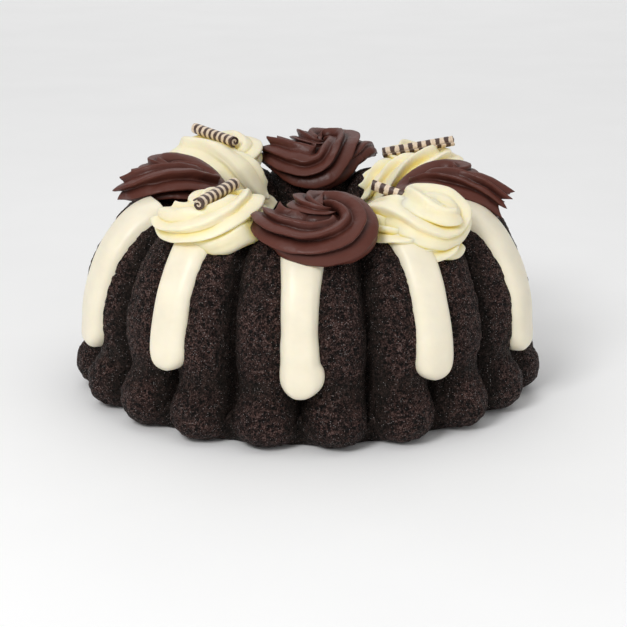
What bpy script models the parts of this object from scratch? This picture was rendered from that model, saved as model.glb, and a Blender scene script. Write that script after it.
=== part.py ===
"""Fluted bundt cake with poured icing, piped rosettes and striped chocolate curls.

Units are metres, +Z is up. The origin is the middle of the footprint, on the plane
the cake stands on. Directions round the cake are angles in degrees: 0 is the front
(-Y), 90 the right side (+X), 180 the back.
"""

import math

import bmesh
import bpy
from mathutils import Vector

MM = 0.001

# ---------------------------------------------------------------- driving sizes, mm
FLUTES = 20                 # flutes round the ring
GROOVE_AT = -2.0            # one groove between flutes lies at this angle, degrees
FLUTE_COLUMNS = (-1.0, -0.72, -0.3, 0.3, 0.72)   # across one flute, -1 and 1 in the grooves
ROUNDNESS = (2.6, 0.5)      # exponents of a flute's rounded cross-section

# Ring section along a flute's crest: radius, height, depth of the groove beside it.
SECTION = (
    (96.5, 0.0, 7.0),       # foot of a knob
    (105.5, 2.4, 11.5),
    (109.8, 8.5, 14.5),     # widest point of the knob
    (109.2, 15.5, 14.5),
    (104.6, 23.0, 13.0),    # neck above the knob
    (103.2, 29.0, 12.2),
    (103.8, 48.0, 12.2),
    (99.4, 63.0, 11.4),
    (94.0, 73.5, 9.4),      # shoulder
    (86.5, 82.0, 7.2),
    (77.5, 87.2, 5.8),
    (68.0, 88.8, 4.8),      # crown
    (58.5, 87.0, 4.2),
    (50.0, 80.5, 3.6),
    (43.0, 66.0, 2.6),      # wall of the centre hole
    (35.5, 32.0, 1.5),
    (31.5, 0.0, 0.8),
)
CROWN_ROWS = slice(7, 15)   # rows of SECTION that the rosettes sit on

GAP = 0.35                  # clearance between neighbouring solids
CROWN_GAP = 0.65            # the same over the crown, whose clearance ring is smooth
SIDE_GAP = 0.3              # half the clearance between neighbouring rosettes

# Icing poured down the grooves: angle, top and foot height, half width at the
# shoulder, at mid height and at the foot, thickness over the crests.
DRIPS = {
    "front": (-2.0, 84.0, 24.5, 10.0, 9.3, 10.2, 4.0),
    "front_right": (31.4, 84.5, 28.0, 11.0, 9.4, 9.6, 4.0),
    "right": (66.6, 85.5, 26.0, 12.5, 9.6, 9.0, 4.1),
    "back_right": (124.0, 84.5, 27.0, 11.0, 9.4, 9.8, 4.0),
    "back": (178.0, 84.5, 26.0, 10.5, 9.3, 10.0, 4.0),
    "back_left": (-128.0, 84.5, 29.0, 11.0, 9.4, 9.5, 4.0),
    "left": (-69.0, 85.5, 28.0, 12.5, 9.8, 8.8, 4.1),
    "front_left": (-35.6, 84.5, 31.0, 11.0, 9.4, 9.6, 4.0),
}
DRIP_ROWS = 8
DRIP_ROOT = 17.0            # how deep the uncut drip reaches under the crests
DRIP_ACROSS = ((-1.0, 0.1), (-0.86, 0.72), (-0.38, 1.0), (0.38, 1.0), (0.86, 0.72), (1.0, 0.1))

# Piped rosettes: angle, ring radius, radial and tangential half size, height of the
# top, turn of the first arm in degrees, kind.
ROSETTES = {
    "front": (1.5, 68.5, 26.0, 27.0, 104.5, 200.0, "chocolate"),
    "front_right": (46.0, 68.5, 25.5, 26.0, 103.0, 20.0, "cream"),
    "right": (88.0, 69.0, 26.0, 27.0, 104.0, 60.0, "chocolate"),
    "back_right": (131.0, 68.0, 25.0, 27.0, 103.0, 118.0, "cream"),
    "back": (178.0, 68.5, 26.0, 27.0, 106.5, 90.0, "chocolate"),
    "back_left": (-139.0, 69.0, 26.0, 27.0, 107.0, 300.0, "cream"),
    "left": (-90.0, 67.0, 25.5, 28.0, 106.5, 150.0, "chocolate"),
    "front_left": (-40.5, 68.5, 26.0, 26.5, 103.0, 240.0, "cream"),
}
ARMS = 6                    # ridges left by the star nozzle
ARM_STEPS = 4               # mesh columns for one ridge
ROSETTE_TWIST = 230.0       # how far a ridge winds from rim to peak, degrees
# Rosette rows from under the rim to the peak: size factor, height under the top,
# ridge height.
ROSETTE_ROWS = (
    (0.74, -34.0, 0.0),
    (0.90, -27.0, 0.8),
    (1.00, -20.5, 1.6),
    (0.97, -13.5, 1.8),
    (0.83, -6.6, 1.7),
    (0.56, -2.2, 1.4),
    (0.26, -0.5, 0.8),
)
ROSETTE_CORE = -38.0        # lowest point of the uncut rosette, under its top

# Rolled chocolate curls: middle point, direction of the far end, length.
CURL_RADIUS = 3.0
CURL_LENGTH = 35.0
CURL_SHEET = 0.75           # thickness of the rolled sheet
CURL_PITCH = 1.15           # how much the roll closes in each turn
CURL_TURNS = 1.75
CURL_STEPS = 16
CURLS = {
    "front_left": ((-39.5, -58.0, 102.2), (14.5, 32.0, 2.0)),
    "front_right": ((44.0, -54.5, 99.8), (31.2, -15.0, -8.5)),
    "back_right": ((53.5, 42.5, 103.2), (35.0, 3.0, 5.5)),
    "back_left": ((-46.0, 56.0, 106.4), (-20.5, 28.0, 1.5)),
}

COLOURS = {
    "cake": ((0.034, 0.020, 0.017, 1.0), 0.85),
    "chocolate_icing": ((0.095, 0.037, 0.029, 1.0), 0.42),
    "cream_icing": ((0.90, 0.80, 0.60, 1.0), 0.38),
    "curl": ((0.16, 0.075, 0.055, 1.0), 0.45),
}


# ---------------------------------------------------------------- helpers
def polar(angle, radius, height):
    """Point in metres at an angle round the cake."""
    a = math.radians(angle)
    return Vector((radius * math.sin(a), -radius * math.cos(a), height)) * MM


def smoothstep(x):
    x = min(max(x, 0.0), 1.0)
    return x * x * (3.0 - 2.0 * x)


def material(name):
    found = bpy.data.materials.get(name)
    if found:
        return found
    colour, roughness = COLOURS[name]
    made = bpy.data.materials.new(name)
    made.use_nodes = True
    shader = made.node_tree.nodes["Principled BSDF"]
    shader.inputs["Base Color"].default_value = colour
    shader.inputs["Roughness"].default_value = roughness
    shader.inputs["Metallic"].default_value = 0.0
    made.diffuse_color = colour
    return made


def make_object(name, points, faces, collection, slot=None, sharp=50.0):
    mesh = bpy.data.meshes.new(name)
    mesh.from_pydata(points, [], faces)
    shape = bmesh.new()
    shape.from_mesh(mesh)
    bmesh.ops.recalc_face_normals(shape, faces=shape.faces)
    shape.to_mesh(mesh)
    shape.free()
    made = bpy.data.objects.new(name, mesh)
    collection.objects.link(made)
    if slot:
        mesh.materials.append(material(slot))
        mesh.shade_smooth()
        mesh.set_sharp_from_angle(angle=math.radians(sharp))
    else:
        made.hide_render = True
        made.display_type = "WIRE"
    return made


def cut(target, cutter):
    modifier = target.modifiers.new("cut_" + cutter.name, "BOOLEAN")
    modifier.operation = "DIFFERENCE"
    modifier.solver = "EXACT"
    modifier.object = cutter


def bridge(rows, columns, ring=False):
    """Quads between equal rows of points, each row a closed loop."""
    faces = []
    spans = len(rows) if ring else len(rows) - 1
    for i in range(spans):
        a, b = i * columns, ((i + 1) % len(rows)) * columns
        for j in range(columns):
            k = (j + 1) % columns
            faces.append((a + j, a + k, b + k, b + j))
    return faces


# ---------------------------------------------------------------- the ring
def section_normals(rows):
    """Outward normals of the closed ring section, in its own plane."""
    normals = []
    for i in range(len(rows)):
        before, after = rows[i - 1], rows[(i + 1) % len(rows)]
        tangent = Vector((after[0] - before[0], after[1] - before[1])).normalized()
        normals.append(Vector((tangent.y, -tangent.x)))
    return normals


def groove(u, narrower=0.0):
    """0 on a flute's crest, 1 at the bottom of the groove beside it."""
    p, q = ROUNDNESS
    u = max(abs(u) - narrower, 0.0)
    return 1.0 - max(1.0 - u ** p, 0.0) ** q


def ring(name, collection, slot=None, extra=0.0, narrower=0.0):
    """The fluted ring: SECTION carried round, with a groove every flute pitch."""
    pitch = 360.0 / FLUTES
    normals = section_normals(SECTION)
    points, columns = [], FLUTES * len(FLUTE_COLUMNS)
    for (radius, height, depth), normal in zip(SECTION, normals):
        if height == 0.0:
            # The foot stays flat: its groove runs in level.
            normal = Vector((1.0 if radius > 60.0 else -1.0, 0.0))
        for flute in range(FLUTES):
            for u in FLUTE_COLUMNS:
                shift = extra - depth * groove(u, narrower)
                angle = GROOVE_AT + (flute + 0.5 + 0.5 * u) * pitch
                lift = -extra if height == 0.0 else shift * normal.y
                points.append(polar(angle, radius + shift * normal.x, height + lift))
    faces = bridge(SECTION, columns, ring=True)
    return make_object(name, points, faces, collection, slot)


def crown_clearance(collection):
    """Smooth ring a little proud of the crests, which shapes the rosettes' seats."""
    rows = SECTION[CROWN_ROWS]
    normals = section_normals(SECTION)[CROWN_ROWS]
    outline = [
        (r + CROWN_GAP * n.x, z + CROWN_GAP * n.y) for (r, z, _), n in zip(rows, normals)
    ]
    outline += [(outline[-1][0], 45.0), (outline[0][0], 45.0)]
    columns = 44
    points = [
        polar(360.0 * j / columns, r, z) for r, z in outline for j in range(columns)
    ]
    return make_object(
        "clear_crown", points, bridge(outline, columns, ring=True), collection
    )


# ---------------------------------------------------------------- poured icing
def outer_line():
    """Crest line of the ring from the knob up to the crown, with its normals."""
    normals = section_normals(SECTION)
    picked = range(2, 12)
    return [(Vector(SECTION[i][:2]), normals[i]) for i in picked]


def crest_at_height(height):
    """Crest point and normal of the ring's outer side at a height."""
    line = outer_line()
    for (a, na), (b, nb) in zip(line, line[1:]):
        if a.y <= height <= b.y:
            t = (height - a.y) / (b.y - a.y)
            return a.lerp(b, t), na.lerp(nb, t).normalized()
    return line[-1]


def drip_rows(spec, extra):
    """Loops of points across one drip, from its top under a rosette to its foot."""
    angle, top, foot, wide, mid, low, thick = spec
    rows = []
    for i in range(DRIP_ROWS):
        t = i / (DRIP_ROWS - 1)
        # Rows lie closer together near the rounded foot.
        height = top + (foot - top) * math.sin(0.5 * math.pi * t) ** 0.9
        crest, normal = crest_at_height(height)
        fall = (top - height) / (top - foot)
        half = wide + (mid - wide) * smoothstep(fall / 0.35)
        half += (low - mid) * smoothstep((fall - 0.55) / 0.35)
        end = min((height - foot) / low, 1.0)
        round_end = math.sqrt(max(1.0 - (1.0 - end) ** 2, 0.0))
        half = half * (0.3 + 0.7 * round_end) + extra
        rise = thick * (0.45 + 0.55 * round_end) + extra
        loop = []
        for v, lift in DRIP_ACROSS:
            p = crest + normal * (rise * lift)
            side = math.degrees(half * v / crest.x)
            loop.append(polar(angle + side, p.x, p.y))
        for v in (1.0, -1.0):
            p = crest - normal * DRIP_ROOT
            side = math.degrees(half * v / crest.x)
            loop.append(polar(angle + side, p.x, p.y))
        rows.append(loop)
    return rows


def drip(name, collection, spec, slot=None, extra=0.0):
    rows = drip_rows(spec, extra)
    columns = len(rows[0])
    points = [p for loop in rows for p in loop]
    faces = bridge(rows, columns)
    for loop_at, turn in ((0, -1), (len(rows) - 1, 1)):
        middle = sum((points[loop_at * columns + j] for j in range(columns)), Vector())
        points.append(middle / columns)
        for j in range(columns):
            a, b = loop_at * columns + j, loop_at * columns + (j + 1) % columns
            faces.append((a, b, len(points) - 1)[::turn])
    return make_object(name, points, faces, collection, slot)


# ---------------------------------------------------------------- piped rosettes
def sector_planes():
    """The upright planes halfway between neighbouring rosettes, as name -> normals."""
    names = list(ROSETTES)
    planes = {name: [] for name in names}
    for i, name in enumerate(names):
        after = names[(i + 1) % len(names)]
        a, b = ROSETTES[name][0], ROSETTES[after][0]
        half = (a + ((b - a) % 360.0) / 2.0)
        h = math.radians(half)
        outward = Vector((math.cos(h), math.sin(h)))
        planes[name].append(outward)
        planes[after].append(-outward)
    return planes


def rosette(name, collection, spec, planes):
    """Dome of star-nozzle ridges that wind in, counterclockwise from above, to a peak."""
    angle, ring_radius, radial, tangential, top, start, kind = spec
    centre = polar(angle, ring_radius, 0.0)
    out = polar(angle, 1.0, 0.0).normalized()
    along = Vector((-out.y, out.x, 0.0))
    columns = ARMS * ARM_STEPS
    points = [Vector((centre.x, centre.y, (top + ROSETTE_CORE) * MM))]
    for size, under, ridge in ROSETTE_ROWS:
        # The ridges hug the rim, then turn in towards the peak.
        wind = ROSETTE_TWIST * (1.0 - size) ** 1.25 if under > -20.0 else 0.0
        for j in range(columns):
            phi = math.radians(start + wind + 360.0 * j / columns)
            crest = math.cos(2.0 * math.pi * j / ARM_STEPS)
            reach = size + ridge * crest / tangential
            x, y = radial * reach * math.cos(phi), tangential * reach * math.sin(phi)
            # The rim hangs lower outside the crown than inside it.
            sag = 2.5 * (x / radial) * smoothstep(-under / 20.0)
            z = top + under + 0.35 * ridge * crest - sag
            p = centre + (out * x + along * y) * MM
            points.append(Vector((p.x, p.y, z * MM)))
    points.append(Vector((centre.x, centre.y, top * MM)))
    for p in points:
        for normal in planes:
            over = p.xy.dot(normal) + SIDE_GAP * MM
            if over > 0.0:
                p.xy -= normal * over
    faces = []
    rows = len(ROSETTE_ROWS)
    for j in range(columns):
        k = (j + 1) % columns
        faces.append((0, 1 + k, 1 + j))
        for i in range(rows - 1):
            a, b = 1 + i * columns, 1 + (i + 1) * columns
            faces.append((a + j, a + k, b + k, b + j))
        last = 1 + (rows - 1) * columns
        faces.append((last + j, last + k, len(points) - 1))
    return make_object(name, points, faces, collection, kind + "_icing", sharp=60.0)


# ---------------------------------------------------------------- chocolate curls
def roll_outline():
    """Closed outline of the rolled sheet, seen along the curl."""
    outer, inner = [], []
    for i in range(CURL_STEPS + 1):
        turn = CURL_TURNS * i / CURL_STEPS
        a = 2.0 * math.pi * turn
        r = CURL_RADIUS - CURL_PITCH * turn
        outer.append((r * math.cos(a), r * math.sin(a)))
        r -= CURL_SHEET
        inner.append((r * math.cos(a), r * math.sin(a)))
    return outer + inner[::-1]


def curl(name, collection, spec):
    middle, direction = Vector(spec[0]) * MM, Vector(spec[1])
    outline = roll_outline()
    count, half = len(outline), 0.5 * CURL_LENGTH
    points = [Vector((x, y, z)) * MM for z in (-half, half) for x, y in outline]
    faces = []
    for j in range(count):
        k = (j + 1) % count
        faces.append((j, k, count + k, count + j))
    steps = CURL_STEPS + 1
    for i in range(CURL_STEPS):
        a, b, c, d = i, i + 1, 2 * steps - 2 - i, 2 * steps - 1 - i
        faces.append((d, c, b, a))
        faces.append((count + a, count + b, count + c, count + d))
    made = make_object(name, points, faces, collection, "curl")
    made.location = middle
    made.rotation_euler = direction.to_track_quat("Z", "Y").to_euler()
    return made


def curl_clearance(name, collection, spec):
    """Open-topped trough that a curl beds into, round below and straight above."""
    middle, direction = Vector(spec[0]) * MM, Vector(spec[1])
    sides = 6
    reach = (CURL_RADIUS + GAP) / math.cos(0.5 * math.pi / sides)
    half = 0.5 * CURL_LENGTH + GAP
    outline = [(reach, 4.0 * CURL_RADIUS)]
    for j in range(sides + 1):
        a = -math.pi * j / sides
        outline.append((reach * math.cos(a), reach * math.sin(a)))
    outline.append((-reach, 4.0 * CURL_RADIUS))
    points = [Vector((x, y, z)) * MM for z in (-half, half) for x, y in outline]
    count = len(outline)
    faces = bridge((0, 1), count)
    faces.append(tuple(range(count))[::-1])
    faces.append(tuple(range(count, 2 * count)))
    made = make_object(name, points, faces, collection)
    made.location = middle
    made.rotation_euler = direction.to_track_quat("Z", "Y").to_euler()
    return made


# ---------------------------------------------------------------- build
def main():
    for old in list(bpy.data.objects):
        bpy.data.objects.remove(old, do_unlink=True)
    parts = bpy.data.collections.new("bundt_cake")
    cutters = bpy.data.collections.new("cutters")
    for collection in (parts, cutters):
        bpy.context.scene.collection.children.link(collection)
    cutters.hide_render = True

    ring("cake_body", parts, "cake")
    clear_ring = ring("clear_ring", cutters, extra=GAP, narrower=0.03)
    clear_crown = crown_clearance(cutters)

    clear_drips = {}
    for where, spec in DRIPS.items():
        made = drip("drip_" + where, parts, spec, "cream_icing")
        cut(made, clear_ring)
        clear_drips[where] = drip("clear_drip_" + where, cutters, spec, extra=GAP)

    planes = sector_planes()
    for where, spec in ROSETTES.items():
        made = rosette("rosette_" + where, parts, spec, planes[where])
        cut(made, clear_crown)
        for side, drip_spec in DRIPS.items():
            apart = (drip_spec[0] - spec[0] + 180.0) % 360.0 - 180.0
            if abs(apart) < 32.0:
                cut(made, clear_drips[side])
        if where in CURLS:
            cut(made, curl_clearance("clear_curl_" + where, cutters, CURLS[where]))

    for where, spec in CURLS.items():
        curl("curl_" + where, parts, spec)


main()
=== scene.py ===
import math

import bpy
import numpy as np
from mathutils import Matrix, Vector


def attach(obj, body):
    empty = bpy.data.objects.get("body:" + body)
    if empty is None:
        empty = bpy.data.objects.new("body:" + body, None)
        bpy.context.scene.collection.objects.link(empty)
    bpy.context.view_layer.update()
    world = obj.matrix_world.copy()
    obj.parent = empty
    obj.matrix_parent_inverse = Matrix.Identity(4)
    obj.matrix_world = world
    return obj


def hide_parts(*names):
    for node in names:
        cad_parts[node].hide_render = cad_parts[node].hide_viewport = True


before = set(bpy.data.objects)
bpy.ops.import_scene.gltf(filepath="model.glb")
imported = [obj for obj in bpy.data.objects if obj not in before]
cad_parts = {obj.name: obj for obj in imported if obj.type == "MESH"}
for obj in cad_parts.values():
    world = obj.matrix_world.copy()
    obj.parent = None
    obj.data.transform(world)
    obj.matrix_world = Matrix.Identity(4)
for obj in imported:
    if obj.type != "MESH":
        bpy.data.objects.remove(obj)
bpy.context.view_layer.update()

# =====================================================================
# Sizes, in mm and degrees. 0 degrees is the front (-Y), 90 the right (+X).
# =====================================================================
FLUTES = 20
GROOVE_AT = -2.0
# Crest line of the ring: radius, height, groove depth, roundness of a flute.
PROFILE = (
    (94.0, 0.2, 6.0, 2.1),
    (100.5, 0.8, 10.0, 2.0),
    (106.0, 3.2, 14.0, 1.9),
    (109.4, 8.0, 16.0, 1.9),
    (109.6, 13.0, 16.0, 1.9),
    (108.6, 17.5, 15.4, 2.0),
    (105.2, 22.0, 14.6, 2.1),
    (102.2, 25.6, 14.0, 2.2),
    (102.2, 29.5, 13.4, 2.2),
    (103.7, 36.0, 13.4, 2.2),
    (104.2, 44.0, 13.6, 2.2),
    (103.0, 52.0, 13.6, 2.2),
    (100.6, 60.0, 13.2, 2.2),
    (97.2, 68.0, 12.4, 2.2),
    (92.4, 75.5, 11.0, 2.2),
    (86.0, 82.0, 9.0, 2.3),
    (78.0, 86.8, 7.0, 2.3),
    (68.0, 88.6, 5.4, 2.3),
    (58.5, 86.8, 4.6, 2.3),
    (50.0, 80.5, 4.0, 2.3),
    (43.6, 67.0, 3.4, 2.3),
    (39.0, 48.0, 2.8, 2.2),
    (35.5, 28.0, 2.0, 2.2),
    (33.0, 10.0, 1.4, 2.2),
    (32.2, 0.4, 1.0, 2.2),
)
CROWN_RADIUS = 68.0


# =====================================================================
# Numbers: noise and lines
# =====================================================================
def lattice(ix, iy, iz, seed):
    h = (ix * 374761393 + iy * 668265263 + iz * 2147483647 + seed * 974711) & 0xFFFFFFFF
    h = ((h ^ (h >> 13)) * 1274126177) & 0xFFFFFFFF
    h = ((h ^ (h >> 16)) * 2246822519) & 0xFFFFFFFF
    h = h ^ (h >> 15)
    return (h & 0xFFFFFF) / float(0xFFFFFF)


def value_noise(P, size, seed=0):
    """Smooth noise from -1 to 1 at points P, with features of the given size."""
    q = np.asarray(P, float) / size + 1000.5
    i = np.floor(q).astype(np.int64)
    f = q - i
    f = f * f * f * (f * (f * 6.0 - 15.0) + 10.0)
    total = 0.0
    for dx in (0, 1):
        wx = f[:, 0] if dx else 1.0 - f[:, 0]
        for dy in (0, 1):
            wy = f[:, 1] if dy else 1.0 - f[:, 1]
            for dz in (0, 1):
                wz = f[:, 2] if dz else 1.0 - f[:, 2]
                total = total + wx * wy * wz * lattice(i[:, 0] + dx, i[:, 1] + dy, i[:, 2] + dz, seed)
    return total * 2.0 - 1.0


def cells(P, size, seed=0):
    """Distance to the nearest scattered point, in mm, and that point's own number."""
    q = np.asarray(P, float) / size + 1000.0
    i = np.floor(q).astype(np.int64)
    best = np.full(len(q), 9.0)
    own = np.zeros(len(q))
    for dx in (-1, 0, 1):
        for dy in (-1, 0, 1):
            for dz in (-1, 0, 1):
                cx, cy, cz = i[:, 0] + dx, i[:, 1] + dy, i[:, 2] + dz
                px = cx + lattice(cx, cy, cz, seed + 1)
                py = cy + lattice(cx, cy, cz, seed + 2)
                pz = cz + lattice(cx, cy, cz, seed + 3)
                d = np.sqrt((px - q[:, 0]) ** 2 + (py - q[:, 1]) ** 2 + (pz - q[:, 2]) ** 2)
                near = d < best
                best = np.where(near, d, best)
                own = np.where(near, lattice(cx, cy, cz, seed + 4), own)
    return best * size, own


def smoothstep(x, lo=0.0, hi=1.0):
    x = np.clip((np.asarray(x, float) - lo) / (hi - lo), 0.0, 1.0)
    return x * x * (3.0 - 2.0 * x)


def spline(points, samples=24):
    """A smooth line through the points, as many columns as they have."""
    P = np.array(points, float)
    P = np.vstack([2.0 * P[0] - P[1], P, 2.0 * P[-1] - P[-2]])
    t = np.linspace(0.0, 1.0, samples, endpoint=False)[:, None]
    out = []
    for i in range(1, len(P) - 2):
        a, b, c, d = P[i - 1], P[i], P[i + 1], P[i + 2]
        out.append(0.5 * (2.0 * b + (c - a) * t + (2.0 * a - 5.0 * b + 4.0 * c - d) * t ** 2
                          + (3.0 * b - a - 3.0 * c + d) * t ** 3))
    out.append(P[-2:-1])
    return np.vstack(out)


def along(line, dims=2):
    step = np.linalg.norm(np.diff(line[:, :dims], axis=0), axis=1)
    return np.concatenate([[0.0], np.cumsum(step)])


def resample(line, at, length):
    return np.stack([np.interp(at, length, line[:, k]) for k in range(line.shape[1])], 1)


def polar(angle, radius, height):
    a = np.radians(angle)
    return np.stack([radius * np.sin(a), -radius * np.cos(a), height + 0.0 * a], -1)


LINE = spline(PROFILE)
LENGTH = along(LINE)
_slope = np.gradient(LINE[:, :2], LENGTH, axis=0)
_slope /= np.linalg.norm(_slope, axis=1)[:, None]
NORMAL = np.stack([_slope[:, 1], -_slope[:, 0]], 1)   # outward in the section's plane
CROWN_AT = LENGTH[np.argmin(np.abs(LINE[:, 0] - CROWN_RADIUS) + 10.0 * (LINE[:, 1] < 80.0))]


def crest(s):
    """Crest radius, height, normal and groove depth at distances along the profile."""
    s = np.asarray(s, float)
    r, z = np.interp(s, LENGTH, LINE[:, 0]), np.interp(s, LENGTH, LINE[:, 1])
    nr, nz = np.interp(s, LENGTH, NORMAL[:, 0]), np.interp(s, LENGTH, NORMAL[:, 1])
    n = np.hypot(nr, nz)
    depth, power = np.interp(s, LENGTH, LINE[:, 2]), np.interp(s, LENGTH, LINE[:, 3])
    return r, z, nr / n, nz / n, depth, power


def groove(u, power):
    """0 on a flute's crest, 1 in the narrow valley between two flutes."""
    u = np.minimum(np.abs(u) / 0.93, 1.0)
    return 1.0 - np.sqrt(np.clip(1.0 - u ** power, 0.0, 1.0))


# =====================================================================
# Meshes
# =====================================================================
def mesh_object(name, points, faces, smooth=True):
    """points in mm; faces an (n, 4) or (n, 3) array, or a list of both."""
    mesh = bpy.data.meshes.new(name)
    points = np.asarray(points, float) * 0.001
    arrays = faces if isinstance(faces, list) else [faces]
    loops = np.concatenate([np.asarray(a).reshape(-1) for a in arrays]).astype(np.int32)
    sizes = np.concatenate([np.full(len(a), np.asarray(a).shape[1], np.int32) for a in arrays])
    mesh.vertices.add(len(points))
    mesh.vertices.foreach_set("co", points.astype(np.float32).reshape(-1))
    mesh.loops.add(len(loops))
    mesh.loops.foreach_set("vertex_index", loops)
    mesh.polygons.add(len(sizes))
    mesh.polygons.foreach_set("loop_start", np.concatenate([[0], np.cumsum(sizes)[:-1]]).astype(np.int32))
    mesh.update(calc_edges=True)
    mesh.validate()
    if smooth:
        mesh.shade_smooth()
    made = bpy.data.objects.new(name, mesh)
    bpy.context.scene.collection.objects.link(made)
    return made


def add_attribute(piece, name, values):
    a = piece.data.attributes.new(name, "FLOAT", "POINT")
    a.data.foreach_set("value", np.asarray(values, np.float32))


def grid_faces(rows, columns, ring_rows=False, ring_columns=True, offset=0):
    i = np.arange(rows if ring_rows else rows - 1)
    j = np.arange(columns if ring_columns else columns - 1)
    i, j = np.meshgrid(i, j, indexing="ij")
    k, l = (i + 1) % rows, (j + 1) % columns
    f = np.stack([i * columns + j, i * columns + l, k * columns + l, k * columns + j], -1)
    return f.reshape(-1, 4) + offset


def fan(loop, centre, turn=False):
    loop = np.asarray(loop)
    nxt = np.roll(loop, -1)
    f = np.stack([loop, nxt, np.full(len(loop), centre)], 1)
    return f[:, ::-1] if turn else f


def grid_normals(G):
    """Normals of a closed-in-columns grid of points (rows, columns, 3)."""
    du = np.roll(G, -1, 1) - np.roll(G, 1, 1)
    dv = np.gradient(G, axis=0)
    n = np.cross(du, dv)
    return n / np.maximum(np.linalg.norm(n, axis=-1, keepdims=True), 1e-9)


def outward(piece):
    import bmesh
    b = bmesh.new()
    b.from_mesh(piece.data)
    bmesh.ops.recalc_face_normals(b, faces=b.faces)
    b.to_mesh(piece.data)
    b.free()
    return piece


# =====================================================================
# Materials
# =====================================================================
class Nodes:
    """Short names for building a material's nodes."""

    def __init__(self, name):
        self.material = bpy.data.materials.new(name)
        self.material.use_nodes = True
        self.tree = self.material.node_tree
        self.shader = self.tree.nodes["Principled BSDF"]

    def add(self, kind, **settings):
        node = self.tree.nodes.new(kind)
        for key, value in settings.items():
            setattr(node, key, value)
        return node

    def link(self, a, b):
        self.tree.links.new(a, b)

    def coordinates(self, scale):
        """Position on the piece in mm, times scale."""
        where = self.add("ShaderNodeTexCoord")
        mapping = self.add("ShaderNodeMapping")
        mapping.inputs["Scale"].default_value = (1000.0 * scale,) * 3
        self.link(where.outputs["Object"], mapping.inputs["Vector"])
        return mapping.outputs["Vector"]

    def noise(self, scale, detail=3.0, rough=0.55, distortion=0.0):
        node = self.add("ShaderNodeTexNoise")
        node.inputs["Scale"].default_value = 1.0
        node.inputs["Detail"].default_value = detail
        node.inputs["Roughness"].default_value = rough
        node.inputs["Distortion"].default_value = distortion
        self.link(self.coordinates(scale), node.inputs["Vector"])
        return node.outputs["Fac"]

    def voronoi(self, scale, feature="F1"):
        node = self.add("ShaderNodeTexVoronoi", feature=feature)
        node.inputs["Scale"].default_value = 1.0
        self.link(self.coordinates(scale), node.inputs["Vector"])
        return node

    def ramp(self, value, stops, interpolation="LINEAR"):
        node = self.add("ShaderNodeValToRGB")
        node.color_ramp.interpolation = interpolation
        elements = node.color_ramp.elements
        while len(elements) < len(stops):
            elements.new(0.5)
        for element, (at, colour) in zip(elements, stops):
            element.position = at
            if isinstance(colour, (int, float)):
                colour = (colour, colour, colour)
            element.color = (*colour, 1.0)
        self.link(value, node.inputs["Fac"])
        return node.outputs["Color"]

    def mix(self, factor, a, b, blend="MIX"):
        node = self.add("ShaderNodeMix", data_type="RGBA", blend_type=blend)
        for socket, value in ((node.inputs[0], factor), (node.inputs[6], a), (node.inputs[7], b)):
            if isinstance(value, bpy.types.NodeSocket):
                self.link(value, socket)
            elif isinstance(value, tuple):
                socket.default_value = (*value, 1.0)
            else:
                socket.default_value = value
        return node.outputs[2]

    def math(self, operation, a, b=0.0, clamp=False):
        node = self.add("ShaderNodeMath", operation=operation, use_clamp=clamp)
        for socket, value in ((node.inputs[0], a), (node.inputs[1], b)):
            if isinstance(value, bpy.types.NodeSocket):
                self.link(value, socket)
            else:
                socket.default_value = value
        return node.outputs[0]

    def attribute(self, name):
        node = self.add("ShaderNodeAttribute", attribute_name=name, attribute_type="GEOMETRY")
        return node.outputs["Fac"]

    def bump(self, height, distance, strength=1.0, normal=None):
        node = self.add("ShaderNodeBump")
        node.inputs["Distance"].default_value = distance
        node.inputs["Strength"].default_value = strength
        self.link(height, node.inputs["Height"])
        if normal is not None:
            self.link(normal, node.inputs["Normal"])
        return node.outputs["Normal"]

    def set(self, **values):
        for name, value in values.items():
            socket = self.shader.inputs[name.replace("_", " ")]
            if isinstance(value, bpy.types.NodeSocket):
                self.link(value, socket)
            elif isinstance(value, tuple) and len(value) == 3 and socket.type == "RGBA":
                socket.default_value = (*value, 1.0)
            else:
                socket.default_value = value


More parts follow.
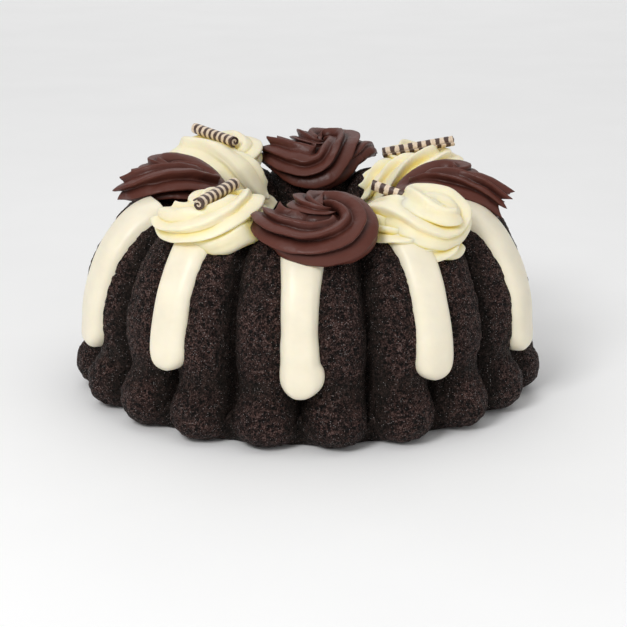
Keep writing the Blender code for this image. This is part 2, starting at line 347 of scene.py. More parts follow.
def cake_material():
    m = Nodes("cake_crumb")
    broad = m.noise(0.06, 3.0)
    clumps = m.noise(0.42, 3.0, 0.6)
    fine = m.noise(1.5, 4.0, 0.62)
    base = m.ramp(fine, [(0.40, (0.0045, 0.0017, 0.0013)), (0.49, (0.0280, 0.0130, 0.0106)),
                         (0.57, (0.0620, 0.0345, 0.0290)), (0.66, (0.116, 0.080, 0.073))])
    base = m.mix(1.0, base, m.ramp(clumps, [(0.38, 0.38), (0.50, 1.0), (0.60, 1.5)]), "MULTIPLY")
    base = m.mix(1.0, base, m.ramp(broad, [(0.35, 0.80), (0.65, 1.15)]), "MULTIPLY")
    # Open pores of uneven size, painted dark inside: painted shade in the pores.
    pores = m.voronoi(0.55)
    own = m.add("ShaderNodeSeparateColor")
    m.link(pores.outputs["Color"], own.inputs["Color"])
    reach = m.math("ADD", m.math("MULTIPLY", own.outputs["Red"], 0.40), 0.05)
    edge = m.math("SUBTRACT", pores.outputs["Distance"], reach)
    inside = m.ramp(m.math("ADD", edge, 0.5), [(0.46, 0.16), (0.60, 1.0)])
    base = m.mix(1.0, base, inside, "MULTIPLY")
    # Painted glints: tiny pale specks, in some cells only.
    glint_speck = m.voronoi(1.5)
    where = m.ramp(glint_speck.outputs["Distance"], [(0.20, 1.0), (0.34, 0.0)])
    some = m.add("ShaderNodeSeparateColor")
    m.link(glint_speck.outputs["Color"], some.inputs["Color"])
    gather = m.ramp(m.noise(0.09, 2.0), [(0.42, 0.0), (0.62, 0.10)])
    some = m.ramp(m.math("ADD", some.outputs["Red"], gather), [(0.86, 0.0), (0.90, 1.0)])
    glint_speck = m.math("MULTIPLY", where, some)
    # Painted shade: the pits in the mesh are painted near black inside.
    base = m.mix(m.math("MULTIPLY", m.attribute("pit"), 0.7), base, (0.005, 0.0025, 0.002))
    # Painted shade, near black, in the grooves and at the neck above the knobs.
    groove_and_neck_shade = m.attribute("groove_and_neck_shade")
    base = m.mix(m.math("MULTIPLY", groove_and_neck_shade, 0.72), base, (0.0105, 0.0082, 0.0060))
    # Painted glints: the specks are painted pale.
    base = m.mix(glint_speck, base, (0.34, 0.31, 0.30))
    rough = m.ramp(fine, [(0.38, 0.85), (0.62, 0.45)])
    rough = m.mix(glint_speck, rough, (0.25, 0.25, 0.25))
    height = m.math("ADD", m.math("MULTIPLY", fine, 0.8), m.math("MULTIPLY", inside, 0.9))
    height = m.math("ADD", height, m.math("MULTIPLY", clumps, 1.0))
    height = m.math("ADD", height, m.math("MULTIPLY", glint_speck, 0.4))
    m.set(Base_Color=base, Roughness=rough, Normal=m.bump(height, 0.0012, 1.0))
    m.shader.inputs["Specular IOR Level"].default_value = 0.16
    return m.material


def icing_material(name, colour, fold_shade_and_glow, deep, reach, roughness, specular, bump, soft):
    """Smooth icing with painted shade in its folds (a painted yellow glow on the cream); the surface is faintly uneven.
    """
    m = Nodes(name)
    broad = m.noise(0.07, 3.0)
    fine = m.noise(0.5, 3.0)
    light = tuple(min(c * 1.05, 0.97) for c in colour)
    dark = tuple(c * 0.94 for c in colour)
    base = m.ramp(broad, [(0.3, dark), (0.55, colour), (0.8, light)])
    # Painted shade in folds and hollows, found by the AO node and the fold attribute.
    hidden = m.add("ShaderNodeAmbientOcclusion", samples=8)
    hidden.inputs["Distance"].default_value = reach
    hidden = m.ramp(hidden.outputs["AO"], [(0.42, 1.0), (0.84, 0.0)])
    fold = m.math("MULTIPLY", m.math("ADD", m.math("MULTIPLY", hidden, 0.85),
                                     m.math("MULTIPLY", m.attribute("fold"), 0.15)), deep)
    base = m.mix(fold, base, fold_shade_and_glow)
    rough = m.ramp(fine, [(0.3, roughness + 0.06), (0.7, roughness - 0.05)])
    height = m.math("ADD", m.noise(0.22, 3.0), m.math("MULTIPLY", m.noise(1.1, 2.0), 0.25))
    m.set(Base_Color=base, Roughness=rough, Normal=m.bump(height, bump, 0.6))
    m.shader.inputs["Specular IOR Level"].default_value = specular
    if soft:
        m.shader.inputs["Subsurface Weight"].default_value = soft
        m.shader.inputs["Subsurface Radius"].default_value = (1.0, 0.72, 0.34)
        m.shader.inputs["Subsurface Scale"].default_value = 0.003
    return m.material


def curl_material():
    m = Nodes("curl_bands")
    uv = m.add("ShaderNodeUVMap", uv_map="roll")
    split = m.add("ShaderNodeSeparateXYZ")
    m.link(uv.outputs["UV"], split.inputs[0])
    wobble = m.math("MULTIPLY", m.math("SUBTRACT", m.noise(0.5, 2.0), 0.5), 0.35)
    phase = m.math("FRACT", m.math("ADD", split.outputs["X"], wobble))
    brown = m.ramp(phase, [(0.0, 1.0), (0.44, 1.0), (0.50, 0.0), (0.94, 0.0), (1.0, 1.0)])
    grain = m.noise(0.9, 4.0)
    dark = m.ramp(grain, [(0.3, (0.050, 0.024, 0.018)), (0.7, (0.095, 0.052, 0.040))])
    pale = m.ramp(grain, [(0.3, (0.66, 0.50, 0.36)), (0.7, (0.82, 0.70, 0.55))])
    inner = m.ramp(split.outputs["Y"], [(0.50, 1.0), (0.56, 0.15)])
    brown = m.math("MULTIPLY", brown, inner)
    base = m.mix(brown, pale, dark)
    m.set(Base_Color=base, Roughness=m.ramp(grain, [(0.3, 0.5), (0.7, 0.36)]),
          Normal=m.bump(m.math("ADD", grain, m.math("MULTIPLY", brown, 0.3)), 0.00025, 0.6))
    m.shader.inputs["Specular IOR Level"].default_value = 0.45
    return m.material


CAKE = cake_material()
# Each icing's second colour is painted into its folds: painted shade on the chocolate and the poured icing, a painted
# yellow glow of light through the folds on the cream.
CHOCOLATE = icing_material("chocolate_icing", (0.106, 0.0322, 0.0226), (0.020, 0.0060, 0.0045),
                           0.8, 0.006, 0.36, 0.22, 0.0004, 0.0)
CREAM = icing_material("cream_icing", (0.925, 0.845, 0.625), (0.93, 0.77, 0.20),
                       0.9, 0.006, 0.38, 0.28, 0.0003, 0.35)
POURED = icing_material("poured_icing", (0.90, 0.83, 0.66), (0.84, 0.76, 0.50),
                        0.5, 0.004, 0.34, 0.32, 0.00015, 0.2)
BANDS = curl_material()


def finish_piece(piece, material, slot, *nodes):
    piece.data.materials.clear()
    piece.data.materials.append(material)
    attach(piece, "root")
    if nodes:
        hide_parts(*nodes)
    return piece


# =====================================================================
# The cake
# =====================================================================
RNG = np.random.default_rng(20)
SHIFT = RNG.uniform(-0.6, 0.4, FLUTES)          # how far each flute stands out
KNOB = RNG.uniform(-0.9, 0.2, FLUTES)           # how far its knob does
NECK = RNG.uniform(-1.6, 1.6, FLUTES)           # height of the neck above the knob
JITTER = RNG.uniform(-0.35, 0.35, FLUTES)       # groove angles


def groove_angle(k):
    return GROOVE_AT + 360.0 / FLUTES * k + JITTER[np.asarray(k) % FLUTES]


def surface(s, angle):
    """The cake's surface, without crumb, at distance s along the profile: offset from
    the crest line. s and angle are arrays of one shape."""
    pitch = 360.0 / FLUTES
    k = np.floor((angle - GROOVE_AT) / pitch).astype(int)
    a, b = groove_angle(k), groove_angle(k + 1)
    k = np.where(angle < a, k - 1, np.where(angle >= b, k + 1, k))
    a, b = groove_angle(k), groove_angle(k + 1)
    u = 2.0 * (angle - a) / (b - a) - 1.0
    depth, power = crest(s)[4:6]
    own = k % FLUTES
    low = smoothstep(LENGTH[0] + 34.0 - s, 0.0, 16.0)
    side = smoothstep(s, 4.0, 14.0) * (1.0 - smoothstep(s, CROWN_AT - 25.0, CROWN_AT))
    shift = SHIFT[own] * side * (1.0 - low) + KNOB[own] * low * side
    return shift - depth * groove(u, power), u


def make_cake():
    per_flute = 30
    j = np.arange(per_flute) / per_flute
    u = 0.72 * (2.0 * j - 1.0) - 0.28 * np.cos(math.pi * j)
    angles = np.concatenate([
        groove_angle(k) + (groove_angle(k + 1) - groove_angle(k)) * (0.5 + 0.5 * u)
        for k in range(FLUTES)])
    outer = CROWN_AT - 12.0
    s = np.concatenate([np.linspace(0.0, outer, 120, endpoint=False),
                        np.linspace(outer, CROWN_AT + 24.0, 20, endpoint=False),
                        np.linspace(CROWN_AT + 24.0, LENGTH[-1], 18)])
    S, A = np.meshgrid(s, angles, indexing="ij")
    r, z, nr, nz, _, _ = crest(S)
    off, _ = surface(S, A)
    own = (np.floor((A - GROOVE_AT) / (360.0 / FLUTES)).astype(int)) % FLUTES
    z = z + NECK[own] * np.exp(-((z - 25.0) / 9.0) ** 2) * 0.5
    foot = smoothstep(S, 0.0, 5.0) * smoothstep(LENGTH[-1] - S, 0.0, 4.0)
    G = polar(A, r + off * nr, z + off * nz * foot)
    P = G.reshape(-1, 3)
    N = grid_normals(G).reshape(-1, 3)
    radial = np.stack([np.sin(np.radians(A)), -np.cos(np.radians(A)), 0 * A], -1).reshape(-1, 3)
    want = radial * nr.reshape(-1, 1) + np.array([0, 0, 1.0]) * nz.reshape(-1, 1)
    N *= np.sign((N * want).sum(1, keepdims=True) + 1e-9)
    # Crumb: broad unevenness, grains and open pores.
    broad = value_noise(P, 16.0, 1) * 0.45 + value_noise(P, 7.0, 2) * 0.25
    grain = value_noise(P, 2.6, 3) * 0.32 + value_noise(P, 1.5, 4) * 0.26
    near, number = cells(P, 3.1, 5)
    radius = 0.55 + 0.95 * number
    pit = np.where(number > 0.30, smoothstep(1.0 - near / radius, 0.0, 0.9), 0.0)
    push = broad + grain - pit * (0.35 + 0.65 * number)
    keep = foot.reshape(-1) * smoothstep(P[:, 2], 0.0, 2.0)
    P = P + N * (push * keep)[:, None]
    P[:, 2] = np.maximum(P[:, 2], 0.15)
    rows, columns = len(s), len(angles)
    # Flat underside between the two feet.
    first, last = P[:columns].copy(), P[-columns:].copy()
    first[:, 2] = 0.0
    last[:, 2] = 0.0
    first[:, :2] *= 0.985
    under = [first + (last - first) * t for t in (0.0, 0.12, 0.5, 0.9, 1.0)]
    P = np.vstack([P] + under[::-1])
    piece = mesh_object("cake", P, grid_faces(rows + 5, columns, ring_rows=True))
    add_attribute(piece, "pit", np.concatenate([pit, np.zeros(5 * columns)]))
    _, u = surface(S, A)
    # Painted shade: high towards the grooves and at the neck above the knobs, with some noise.
    neck = np.exp(-((z - 27.5) / 4.0) ** 2) * (r > 90.0)
    groove_and_neck_shade = smoothstep(np.abs(u), 0.48, 0.92) + 0.75 * neck
    groove_and_neck_shade = np.clip(groove_and_neck_shade + 0.25 * value_noise(G.reshape(-1, 3), 6.0, 8).reshape(groove_and_neck_shade.shape), 0.0, 1.0)
    add_attribute(piece, "groove_and_neck_shade", np.concatenate([groove_and_neck_shade.reshape(-1), np.zeros(5 * columns)]))
    outward(piece)
    return finish_piece(piece, CAKE, "cake", "cake_body")


make_cake()


# =====================================================================
# Poured icing
# =====================================================================
# Angle, top height, foot height, thickness, then (share of the fall, left half
# width, right half width) and how far the middle line wanders.
DRIPS = {
    "front": (-2.0, 86.0, 24.5, 3.9,
              ((0.0, 9.0, 9.6), (0.15, 8.9, 9.8), (0.35, 8.4, 8.4), (0.6, 8.4, 7.9),
               (0.76, 8.5, 8.6), (0.84, 8.8, 10.6), (1.0, 8.9, 10.6)), 0.3, 1),
    "front_right": (31.4, 86.5, 28.0, 3.9,
                    ((0.0, 9.6, 9.8), (0.2, 9.2, 9.4), (0.5, 9.2, 9.0), (0.8, 9.8, 9.6), (1.0, 9.8, 9.6)), 0.4, 2),
    "right": (66.6, 88.0, 26.0, 4.3,
              ((0.0, 13.5, 14.5), (0.2, 11.4, 14.0), (0.5, 10.8, 12.6), (0.8, 10.4, 11.4), (1.0, 9.8, 10.0)), 0.4, 3),
    "back_right": (124.0, 86.5, 27.0, 4.0,
                   ((0.0, 11.0, 11.0), (0.2, 9.6, 9.4), (0.5, 9.0, 9.4), (0.8, 9.6, 10.0), (1.0, 9.6, 10.0)), 0.5, 4),
    "back": (178.0, 86.5, 26.0, 4.0,
             ((0.0, 10.5, 10.5), (0.2, 9.2, 9.6), (0.5, 9.2, 8.8), (0.8, 9.9, 9.5), (1.0, 9.9, 9.5)), 0.5, 5),
    "back_left": (-128.0, 86.5, 29.0, 4.0,
                  ((0.0, 11.0, 11.0), (0.2, 9.6, 9.2), (0.5, 9.2, 9.6), (0.8, 9.8, 9.6), (1.0, 9.8, 9.6)), 0.5, 6),
    "left": (-68.5, 88.0, 27.0, 4.4,
             ((0.0, 14.0, 13.5), (0.2, 12.5, 12.5), (0.5, 11.6, 12.2), (0.8, 10.6, 11.6), (1.0, 9.6, 10.4)), 0.4, 7),
    "front_left": (-35.6, 86.5, 31.0, 3.9,
                   ((0.0, 11.5, 11.5), (0.2, 9.8, 9.4), (0.5, 9.4, 9.2), (0.8, 9.6, 9.6), (1.0, 9.6, 9.6)), 0.4, 8),
}


def s_at_height(z):
    """Distance along the outer profile at a height."""
    outer = LENGTH <= CROWN_AT
    return float(np.interp(z, LINE[outer, 1], LENGTH[outer]))


def under_icing(s):
    """The line the poured icing follows: it runs straight down past the neck."""
    r, z, nr, nz, _, _ = crest(s)
    w = smoothstep(48.0 - z, 0.0, 16.0)
    r = r * (1.0 - w) + 104.5 * w
    nr, nz = nr * (1.0 - w) + w, nz * (1.0 - w)
    n = np.hypot(nr, nz)
    return r, z, nr / n, nz / n


def make_drip(where, spec):
    angle, top, foot, thick, widths, wander, seed = spec
    s_top, s_foot = s_at_height(top), s_at_height(foot)
    rows = 150
    t = np.linspace(0.0, 1.0, rows)
    t = np.sin(0.5 * math.pi * t) * 0.35 + t * 0.65
    s = s_top + (s_foot - s_top) * t
    fall = t
    W = spline(widths, 20)
    W = W[np.argsort(W[:, 0])]
    left, right = np.interp(fall, W[:, 0], W[:, 1]), np.interp(fall, W[:, 0], W[:, 2])
    end = 10.5
    x = np.clip((s - s_foot) / end, 0.0, 1.0)
    round_end = np.sqrt(np.clip(1.0 - (1.0 - x) ** 2.3, 0.0, 1.0))
    left, right = left * np.maximum(round_end, 0.02), right * np.maximum(round_end, 0.02)
    key = np.stack([s * 0 + seed * 31.0, s * 0, s], 1)
    middle = wander * value_noise(key, 16.0, seed)
    left = left + 0.22 * value_noise(key, 7.0, seed + 10)
    right = right + 0.22 * value_noise(key, 7.0, seed + 20)
    bead = 1.0 + 0.16 * np.exp(-((s - s_foot - 7.0) / 7.0) ** 2)
    top_thin = 1.0 + 0.25 * smoothstep(s, s_at_height(70.0), s_top)
    rise = thick * bead * top_thin * np.sqrt(np.clip(1.0 - (1.0 - np.clip((s - s_foot) / 5.0, 0, 1)) ** 2, 0.0, 1.0))
    v = np.sin(np.linspace(-0.5, 0.5, 41) * math.pi)
    v = np.sign(v) * np.abs(v) ** 0.85
    r, z, nr, nz = under_icing(s)
    half = np.where(v[None, :] < 0, left[:, None], right[:, None])
    side = middle[:, None] + half * v[None, :]
    A = angle + np.degrees(side / r[:, None])
    edge, _ = surface(np.repeat(s[:, None], len(v), 1), A)
    shape = np.clip(1.0 - np.abs(v) ** 3.0, 0.0, 1.0) ** 0.46
    low = np.maximum(np.minimum(edge, 0.0), -3.2) * smoothstep(np.abs(v), 0.4, 0.8)[None, :] - 1.1
    off = low + (rise[:, None] - low) * shape[None, :]
    off = off + 0.10 * value_noise(np.stack([side, s[:, None] + 0 * side, 0 * side + seed], -1).reshape(-1, 3), 9.0, seed).reshape(off.shape)
    outer = polar(A, r[:, None] + off * nr[:, None], z[:, None] + off * nz[:, None])
    back_v = np.linspace(0.96, -0.96, 9)
    half = np.where(back_v[None, :] < 0, left[:, None], right[:, None])
    side = middle[:, None] + half * back_v[None, :]
    A = angle + np.degrees(side / r[:, None])
    off = -3.2 + 0 * side
    inner = polar(A, r[:, None] + off * nr[:, None], z[:, None] + off * nz[:, None])
    G = np.concatenate([outer, inner], 1)
    n = G.shape[1]
    P = G.reshape(-1, 3)
    ends = np.stack([G[0].mean(0), G[-1].mean(0)])
    P = np.vstack([P, ends])
    count = rows * n
    faces = [grid_faces(rows, n), fan(np.arange(n), count, True), fan(np.arange(count - n, count), count + 1)]
    piece = mesh_object("poured_" + where, P, faces)
    outward(piece)
    fold = np.concatenate([np.repeat((np.abs(np.concatenate([v, back_v])) ** 6)[None, :], rows, 0).reshape(-1), [0, 0]])
    add_attribute(piece, "fold", fold)
    return finish_piece(piece, POURED, "cream_icing", "drip_" + where)


for where, spec in DRIPS.items():
    make_drip(where, spec)


# =====================================================================
# Piped rosettes
# =====================================================================
def crown_point(a, b, lift, centre_angle, flat=0.9):
    """Point over the crown: a mm round the ring, b mm across it (outward positive),
    lift mm above the crests. Also the up direction there."""
    s = CROWN_AT - b
    r, z, nr, nz, _, _ = crest(s)
    # Up leans almost as far as the crown's own slope.
    ur, uz = nr * flat, nz * flat + (1.0 - flat)
    n = np.hypot(ur, uz)
    ur, uz = ur / n, uz / n
    angle = centre_angle + np.degrees(a / CROWN_RADIUS)
    P = polar(angle, r + lift * ur, z + lift * uz)
    q = np.radians(angle)
    U = np.stack([ur * np.sin(q), -ur * np.cos(q), uz], -1)
    return P, U


def vane(phase, sharp):
    """Height of a ridge over one pitch: up its steep side, then down the long one."""
    if sharp:
        up = smoothstep(phase, 0.0, 0.24)
        down = 1.0 - ((phase - 0.24) / 0.76) ** 1.15
        return np.where(phase < 0.24, up, down)
    up = smoothstep(phase, 0.0, 0.40)
    down = 1.0 - smoothstep(phase, 0.30, 1.0)
    return np.where(phase < 0.35, up, down) * 0.98 + 0.01


# Each rosette: its angle; eye = where the swirl ends, from the middle of the rosette,
# in mm to +X and +Y. Its strokes follow: path = (direction in degrees from the eye,
# distance, half width, lift), 0 being +X and 90 +Y; ridges and how deep; twist of the
# ridges; how far the ridges are drawn out behind the start, and how much it leans.
ROSETTES = {
    "front": dict(angle=1.5, eye=(5.5, -5.0), sharp=True, seed=1, strokes=(
        dict(path=(
            (178, 21.5, 8.8, 7.5), (194, 19.5, 10.8, 7.0), (216, 16.0, 12.0, 6.4), (250, 13.4, 12.6, 6.0),
            (290, 11.8, 12.8, 6.2), (322, 10.8, 12.2, 6.6), (5, 8.8, 10.6, 7.8), (50, 9.4, 10.4, 8.4),
            (90, 10.4, 10.2, 8.8), (128, 10.6, 9.6, 9.2), (165, 8.5, 8.8, 9.8), (205, 5.6, 7.2, 10.4),
            (255, 3.6, 5.4, 10.4), (320, 2.0, 3.2, 9.0)),
            ridges=8, depth=0.36, twist=215, tail=4.0, lean=0.8),)),
    "front_right": dict(angle=46.0, eye=(6.5, -12.5), sharp=False, seed=2, strokes=(
        dict(path=(
            (161, 33.0, 7.2, 4.2), (164, 28.0, 9.2, 4.0), (171, 21.5, 10.6, 4.2), (189, 14.8, 11.2, 5.2),
            (218, 10.8, 10.6, 6.2), (256, 8.2, 9.4, 6.6), (298, 6.4, 8.2, 6.8), (340, 5.8, 7.6, 7.0),
            (20, 6.6, 8.2, 7.2), (56, 8.8, 9.6, 7.4), (88, 11.2, 10.6, 7.6), (118, 12.4, 10.8, 7.8),
            (150, 10.6, 10.2, 9.2), (185, 7.4, 9.6, 10.8), (225, 4.8, 8.4, 11.2), (270, 3.6, 7.4, 12.0), (330, 2.8, 6.4, 12.8)),
            ridges=5, depth=0.28, twist=60, tail=2.5, lean=0.5),
        dict(path=(
            (170, 30.0, 4.0, 3.0), (181, 27.0, 6.0, 2.2), (195, 24.5, 7.0, 1.6), (212, 21.5, 7.0, 1.2),
            (232, 17.5, 6.6, 1.2), (258, 14.0, 6.6, 1.0), (286, 12.0, 5.8, 1.4), (315, 11.0, 6.2, 1.6),
            (342, 10.6, 4.2, 2.6)),
            ridges=4, depth=0.46, twist=520, tail=1.0, lean=0.0),
        dict(path=((149, 7.9, 4.6, 11.0), (138, 4.9, 5.2, 11.8), (96, 2.2, 5.4, 12.2), (45, 2.0, 5.2, 12.2),
                   (18, 3.4, 4.8, 12.0), (12, 5.2, 3.6, 11.4)),
             ridges=4, depth=0.18, twist=90, tail=0.0, lean=0.0),)),
    "right": dict(angle=88.0, eye=(-4.5, 1.0), sharp=True, seed=3, strokes=(
        dict(path=(
            (-34, 26.0, 8.8, 7.6), (-42, 22.0, 10.6, 7.0), (-60, 16.8, 12.0, 6.2), (-92, 13.4, 12.4, 5.8),
            (-135, 12.0, 12.4, 5.8), (-175, 11.6, 12.0, 6.0), (145, 11.0, 11.4, 6.2), (105, 10.8, 11.0, 6.6),
            (65, 10.5, 10.4, 7.0), (25, 8.5, 9.2, 7.4), (-20, 6.0, 7.8, 7.8), (-75, 4.0, 5.8, 7.8),
            (-140, 2.0, 3.4, 7.2)),
            ridges=8, depth=0.34, twist=-190, tail=4.5, lean=0.1),
        dict(path=((-34, 20.0, 5.8, 4.0), (-37, 25.0, 5.0, 3.2), (-40, 31.0, 3.0, 2.2), (-41, 37.0, 0.7, 1.4)),
             ridges=5, depth=0.34, twist=40, tail=0.0, lean=0.0),)),
    "back_right": dict(angle=130.0, eye=(0.0, -2.0), sharp=False, seed=4, strokes=(
        dict(path=(
            (190, 24.0, 9.0, 8.0), (204, 19.5, 11.0, 7.4), (230, 15.0, 12.6, 7.0), (265, 12.6, 13.0, 6.8),
            (305, 12.0, 12.8, 6.8), (345, 11.8, 12.2, 7.0), (25, 11.5, 11.6, 7.2), (65, 11.0, 11.0, 7.4),
            (105, 10.5, 10.4, 7.6), (145, 8.5, 9.2, 7.8), (190, 6.0, 7.8, 7.8), (245, 4.0, 5.8, 7.6),
            (310, 2.0, 3.4, 7.0)),
            ridges=7, depth=0.36, twist=330, tail=3.0, lean=0.3),)),
    "back": dict(angle=178.0, eye=(4.0, -2.0), sharp=True, seed=5, strokes=(
        dict(path=(
            (178, 26.0, 8.6, 8.6), (190, 22.0, 10.8, 8.2), (214, 17.0, 12.4, 7.8), (248, 14.0, 13.0, 7.6),
            (288, 12.6, 13.2, 7.6), (328, 11.6, 12.8, 7.8), (8, 11.4, 12.2, 8.2), (48, 11.6, 11.6, 8.8),
            (90, 11.5, 11.0, 9.2), (130, 10.5, 10.0, 9.8), (168, 8.0, 8.8, 10.4), (210, 5.4, 7.2, 10.8),
            (260, 3.6, 5.2, 10.8), (325, 2.0, 3.2, 9.8)),
            ridges=8, depth=0.34, twist=210, tail=4.0, lean=0.5),
        dict(path=(
            (-30, 15.0, 6.0, 6.0), (-12, 18.0, 7.4, 7.0), (5, 20.5, 7.2, 8.0), (18, 23.0, 5.4, 8.0), (24, 25.0, 3.2, 7.2)),
            ridges=5, depth=0.25, twist=60, tail=1.0, lean=0.0),)),
    "back_left": dict(angle=-140.0, eye=(4.0, -1.0), sharp=False, seed=6, strokes=(
        dict(path=(
            (-30, 21.0, 8.2, 6.4), (-46, 18.0, 10.6, 7.0), (-70, 14.5, 12.6, 8.0), (-100, 13.0, 13.4, 8.6),
            (-140, 13.4, 13.4, 9.0), (-175, 15.6, 13.2, 9.2), (145, 16.0, 13.0, 9.6), (105, 13.4, 12.4, 9.8),
            (62, 10.8, 11.2, 10.2), (20, 9.0, 9.8, 10.4), (-25, 6.6, 8.0, 9.6), (-80, 4.6, 5.8, 8.0),
            (-145, 2.6, 3.4, 6.4)),
            ridges=5, depth=0.24, twist=-70, tail=1.5, lean=0.0),
        dict(path=(
            (-110, 17.5, 5.0, 2.0), (-85, 19.0, 6.4, 1.8), (-60, 20.5, 6.4, 2.2), (-38, 22.5, 5.2, 3.0),
            (-25, 26.5, 4.4, 4.0), (-20, 31.5, 4.2, 4.4)),
            ridges=3, depth=0.22, twist=90, tail=0.5, lean=0.0),)),
    "left": dict(angle=-90.0, eye=(5.0, 1.0), sharp=True, seed=7, strokes=(
        dict(path=(
            (200, 17.5, 8.6, 8.6), (214, 16.0, 10.8, 8.0), (238, 14.2, 12.2, 7.8), (270, 12.8, 12.6, 8.0),
            (310, 12.0, 12.4, 8.2), (350, 11.6, 12.0, 8.4), (30, 11.4, 11.4, 8.8), (70, 11.0, 11.0, 9.2),
            (110, 10.5, 10.4, 9.8), (150, 8.5, 9.2, 10.2), (195, 6.0, 7.8, 10.6), (250, 4.0, 5.8, 10.6),
            (315, 2.0, 3.4, 9.8)),
            ridges=8, depth=0.32, twist=170, tail=2.5, lean=0.3),)),
    "front_left": dict(angle=-39.5, eye=(4.5, -3.5), sharp=False, seed=8, strokes=(
        dict(path=(
            (182, 19.0, 8.8, 7.2), (198, 17.0, 10.8, 6.8), (226, 14.2, 12.2, 6.4), (260, 12.8, 12.6, 6.2),
            (300, 11.8, 12.4, 6.6), (340, 11.2, 12.0, 7.4), (20, 11.0, 11.6, 7.8), (60, 10.8, 11.0, 7.6),
            (100, 10.4, 10.4, 7.4), (140, 9.0, 9.4, 7.2), (185, 6.8, 8.0, 7.0), (240, 4.4, 6.0, 6.6),
            (310, 2.0, 3.6, 6.0)),
            ridges=7, depth=0.32, twist=150, tail=2.0, lean=0.4),
        dict(path=(
            (235, 17.0, 5.0, 1.6), (255, 18.0, 7.2, 1.4), (280, 18.2, 8.0, 1.4), (305, 18.0, 7.8, 1.8),
            (330, 17.5, 7.0, 2.6), (355, 17.0, 5.6, 3.6)),
            ridges=3, depth=0.18, twist=60, tail=0.5, lean=0.0),)),
}


def make_stroke(centre_angle, eye, sharp, seed, path, ridges, depth, twist, tail, lean):
    """One piped stroke: its points, its faces and how deep in a fold each point is."""
    path = np.array(path, float)
    path[:, 0] = np.degrees(np.unwrap(np.radians(path[:, 0])))
    left_hand = path[-1, 0] > path[0, 0]
    line = spline(path, 30)
    phi = np.radians(line[:, 0])
    x = eye[0] + line[:, 1] * np.cos(phi)
    y = eye[1] + line[:, 1] * np.sin(phi)
    length = along(np.stack([x, y], 1))
    steps = int(np.clip(length[-1] * 2.6, 60, 240))
    line = resample(np.column_stack([x, y, line[:, 2], line[:, 3]]), np.linspace(0, length[-1], steps), length)
    x, y, width, lift = line.T
    # From +X and +Y to round the ring and across it.
    q = math.radians(centre_angle)
    a = x * math.cos(q) + y * math.sin(q)
    b = x * math.sin(q) - y * math.cos(q)
    key = np.stack([np.linspace(0, length[-1], steps), 0 * x + seed * 17.0, 0 * x], 1)
    width = width * (1.0 + (0.04 if sharp else 0.06) * value_noise(key, 10.0, seed))
    lift = lift + 0.45 * value_noise(key, 14.0, seed + 5)
    C, U = crown_point(a, b, lift, centre_angle)
    T = np.gradient(C, axis=0)
    T /= np.linalg.norm(T, axis=1)[:, None]
    W = np.cross(T, U)
    W /= np.linalg.norm(W, axis=1)[:, None]
    V = np.cross(W, T)
    per = 12 if sharp else 16
    n = ridges * per
    t = np.linspace(0, 1, steps)
    turn = np.radians(twist) * t + 0.14 * value_noise(key, 18.0, seed + 9)
    # Ridges of uneven width and height.
    rng = np.random.default_rng(seed)
    share = rng.uniform(0.7, 1.3, ridges)
    edge = np.concatenate([[0.0], np.cumsum(share / share.sum())]) * 2.0 * math.pi
    number = np.repeat(np.arange(ridges), per)
    phase = np.tile(np.arange(per) / per, ridges)
    alpha = edge[number] + (edge[number + 1] - edge[number]) * phase
    if not left_hand:
        alpha = -alpha
    tall = rng.uniform(0.70, 1.15, ridges)
    height = vane(phase, sharp) * tall[number]
    wander = value_noise(np.stack([np.repeat(key[:, 0], n), np.tile(number * 9.0, steps),
                                   np.full(steps * n, seed * 7.0)], 1), 12.0, seed + 3).reshape(steps, n)
    own_depth = depth * (1.0 + 0.45 * wander)
    section = 1.0 - own_depth * (1.0 - height)[None, :]
    ca, sa = np.cos(alpha[None, :] + turn[:, None]), np.sin(alpha[None, :] + turn[:, None])
    wide = width[:, None] * section
    high = width[:, None] * section * np.where(sa > 0, 0.84 if sharp else 0.77, 0.66)
    G = C[:, None, :] + W[:, None, :] * (wide * ca)[..., None] + V[:, None, :] * (high * sa)[..., None]
    # The open end leans and keeps the nozzle's points, drawn out along the stroke.
    near = np.arange(steps)
    G = G + T[:, None, :] * (lean * high * sa * np.exp(-near / 26.0)[:, None])[..., None]
    crestness = np.clip(height, 0.0, 1.0)
    G = G - T[:, None, :] * (tail * crestness[None, :] ** 1.5 * np.exp(-near / 8.0)[:, None])[..., None]
    if sharp:
        G = G + (G - C[:, None, :]) * (0.10 * crestness[None, :] ** 2 * np.exp(-near / 5.0)[:, None])[..., None]
    P = G.reshape(-1, 3)
    if sharp:
        P = P + 0.30 * np.stack([value_noise(P, 5.5, seed + k) for k in (11, 12, 13)], 1)
        P = P + 0.07 * np.stack([value_noise(P, 1.6, seed + k) for k in (14, 15, 16)], 1)
    else:
        P = P + 0.55 * np.stack([value_noise(P, 8.0, seed + k) for k in (11, 12, 13)], 1)
    start = C[0] + T[0] * (3.0 if sharp else 1.5)
    stop = C[-1] + T[-1] * 0.6
    count = steps * n
    P = np.vstack([P, start, stop])
    faces = [grid_faces(steps, n), fan(np.arange(n), count, True), fan(np.arange(count - n, count), count + 1)]
    valley = np.concatenate([np.tile((1.0 - crestness) ** 2.0, steps), [0.6, 0.6]])
    return P, faces, valley


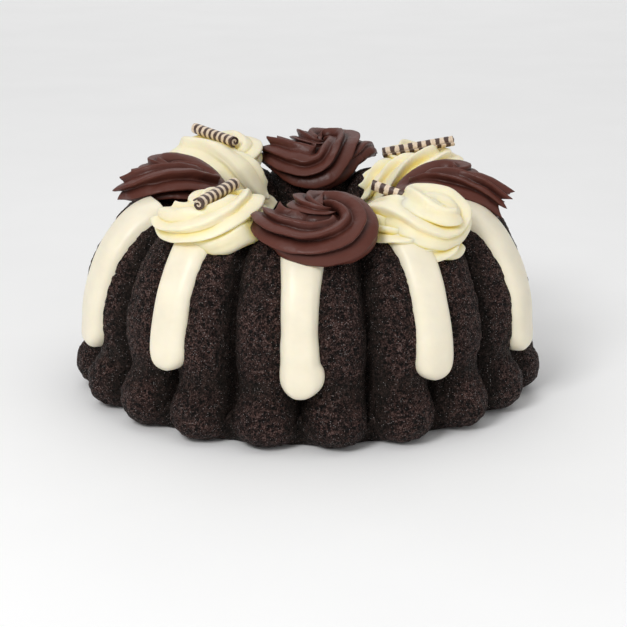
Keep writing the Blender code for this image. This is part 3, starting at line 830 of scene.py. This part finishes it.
def make_rosette(where, spec):
    points, faces, folds, total = [], [], [], 0
    for k, stroke in enumerate(spec["strokes"]):
        P, F, fold = make_stroke(spec["angle"], spec["eye"], spec["sharp"], spec["seed"] + 40 * k, **stroke)
        points.append(P)
        faces += [f + total for f in F]
        folds.append(fold)
        total += len(P)
    piece = mesh_object("piped_" + where, np.vstack(points), faces)
    outward(piece)
    add_attribute(piece, "fold", np.concatenate(folds))
    kind = CHOCOLATE if spec["sharp"] else CREAM
    slot = "chocolate_icing" if spec["sharp"] else "cream_icing"
    return finish_piece(piece, kind, slot, "rosette_" + where)


for where, spec in ROSETTES.items():
    make_rosette(where, spec)


# =====================================================================
# Rolled chocolate curls
# =====================================================================
CURLS = {
    "front_left": ((-39.5, -58.0, 102.2), (14.5, 32.0, 2.0), 0.6),
    "front_right": ((44.0, -54.5, 99.8), (31.2, -15.0, -8.5), 2.1),
    "back_right": ((53.5, 42.5, 103.2), (35.0, 3.0, 5.5), 3.4),
    "back_left": ((-46.0, 56.0, 106.4), (-20.5, 28.0, 1.5), 4.6),
}


def make_curl(where, spec):
    middle, direction, start = np.array(spec[0]), Vector(spec[1]), spec[2]
    length, radius, sheet, pitch, turns = 35.0, 3.0, 0.72, 1.15, 1.9
    turn = direction.to_track_quat("Z", "Y").to_matrix()
    axes = np.array(turn).T
    round_steps, long_steps = 90, 60
    t = np.linspace(0.0, 1.0, round_steps + 1)
    angle = start + 2.0 * math.pi * turns * t
    r = radius - pitch * turns * t
    z = np.linspace(-0.5 * length, 0.5 * length, long_steps + 1)
    outer = np.stack([r * np.cos(angle), r * np.sin(angle)], 1)
    inner = np.stack([(r - sheet) * np.cos(angle), (r - sheet) * np.sin(angle)], 1)
    loop = np.vstack([outer, inner[::-1]])
    n = len(loop)
    wave = 0.10 * np.sin(z / 5.0 + start) + 0.06 * np.sin(z / 2.1)
    G = np.zeros((len(z), n, 3))
    G[..., 0] = loop[None, :, 0] * (1.0 + 0.02 * wave[:, None])
    G[..., 1] = loop[None, :, 1] * (1.0 - 0.02 * wave[:, None])
    G[..., 2] = z[:, None]
    # Slightly broken ends.
    key = np.stack([loop[:, 0], loop[:, 1], 0 * loop[:, 0] + start * 9], 1)
    ragged = 0.35 * value_noise(key, 1.3, 3)
    G[:4, :, 2] += ragged[None, :]
    G[-4:, :, 2] += value_noise(key + 40.0, 1.3, 4)[None, :] * 0.35
    local = G.reshape(-1, 3)
    P = local @ axes + middle
    faces = [grid_faces(len(z), n)]
    m = round_steps + 1
    i = np.arange(round_steps)
    cap = np.stack([i, i + 1, 2 * m - 2 - i, 2 * m - 1 - i], 1)
    faces.append(cap[:, ::-1])
    faces.append(cap + (len(z) - 1) * n)
    piece = mesh_object("curl_roll_" + where, P, faces)
    piece.data.set_sharp_from_angle(angle=math.radians(40))
    outward(piece)
    # Bands run round the roll and lean a little, as the sheet was rolled askew.
    band = local[:, 2] / 4.45 + 0.10 * np.concatenate([t, t[::-1]])[None, :].repeat(len(z), 0).reshape(-1) * 2.0
    depth = np.concatenate([t, t[::-1]])[None, :].repeat(len(z), 0).reshape(-1)
    layer = piece.data.uv_layers.new(name="roll")
    index = np.zeros(len(piece.data.loops), np.int32)
    piece.data.loops.foreach_get("vertex_index", index)
    layer.data.foreach_set("uv", np.stack([band[index] + 7.0, depth[index]], 1).astype(np.float32).reshape(-1))
    return finish_piece(piece, BANDS, "curl", "curl_" + where)


for where, spec in CURLS.items():
    make_curl(where, spec)


# =====================================================================
# Floor, light, camera
# =====================================================================
def make_stage():
    bpy.ops.mesh.primitive_plane_add(size=8.0, location=(0.0, 0.0, 0.0))
    floor = bpy.context.object
    floor.name = "floor"
    m = Nodes("floor_paper")
    shade = m.ramp(m.noise(0.01, 2.0), [(0.3, (0.93, 0.93, 0.93)), (0.7, (0.95, 0.95, 0.95))])
    m.set(Base_Color=shade, Roughness=0.9)
    floor.data.materials.append(m.material)

    world = bpy.data.worlds.new("studio")
    bpy.context.scene.world = world
    world.use_nodes = True
    background = world.node_tree.nodes["Background"]
    background.inputs["Color"].default_value = (1.0, 1.0, 1.0, 1.0)
    background.inputs["Strength"].default_value = 0.42

    def area(name, place, aim, size, power, colour=(1.0, 1.0, 1.0)):
        light = bpy.data.lights.new(name, "AREA")
        light.shape = "RECTANGLE"
        light.size, light.size_y = size
        light.energy = power
        light.color = colour
        made = bpy.data.objects.new(name, light)
        bpy.context.scene.collection.objects.link(made)
        made.location = place
        made.rotation_euler = (Vector(aim) - Vector(place)).to_track_quat("-Z", "Y").to_euler()

    area("key_light", (-0.55, -1.05, 1.0), (0.0, 0.0, 0.05), (0.5, 0.5), 10.5)
    area("fill_light", (0.9, -1.0, 0.5), (0.0, 0.0, 0.06), (0.8, 0.6), 1.6)
    area("top_light", (0.0, 0.6, 2.2), (0.0, 0.5, 0.0), (3.0, 3.0), 16.0)
    area("floor_light", (0.0, 2.6, 1.5), (0.0, 2.5, 0.0), (4.0, 2.0), 16.0)

    camera = bpy.data.cameras.new("camera")
    camera.sensor_width = 36.0
    camera.lens = 36.0 * 1767.9 / 627.0
    camera.clip_start, camera.clip_end = 0.05, 20.0
    made = bpy.data.objects.new("camera", camera)
    bpy.context.scene.collection.objects.link(made)
    made.location = (0.0, -0.80538, 0.27179)
    aim = Vector((0.00291519, 0.95807217, -0.28651217))
    made.rotation_euler = aim.to_track_quat("-Z", "Y").to_euler()
    bpy.context.scene.camera = made
    bpy.context.scene.view_settings.view_transform = "Standard"


make_stage()
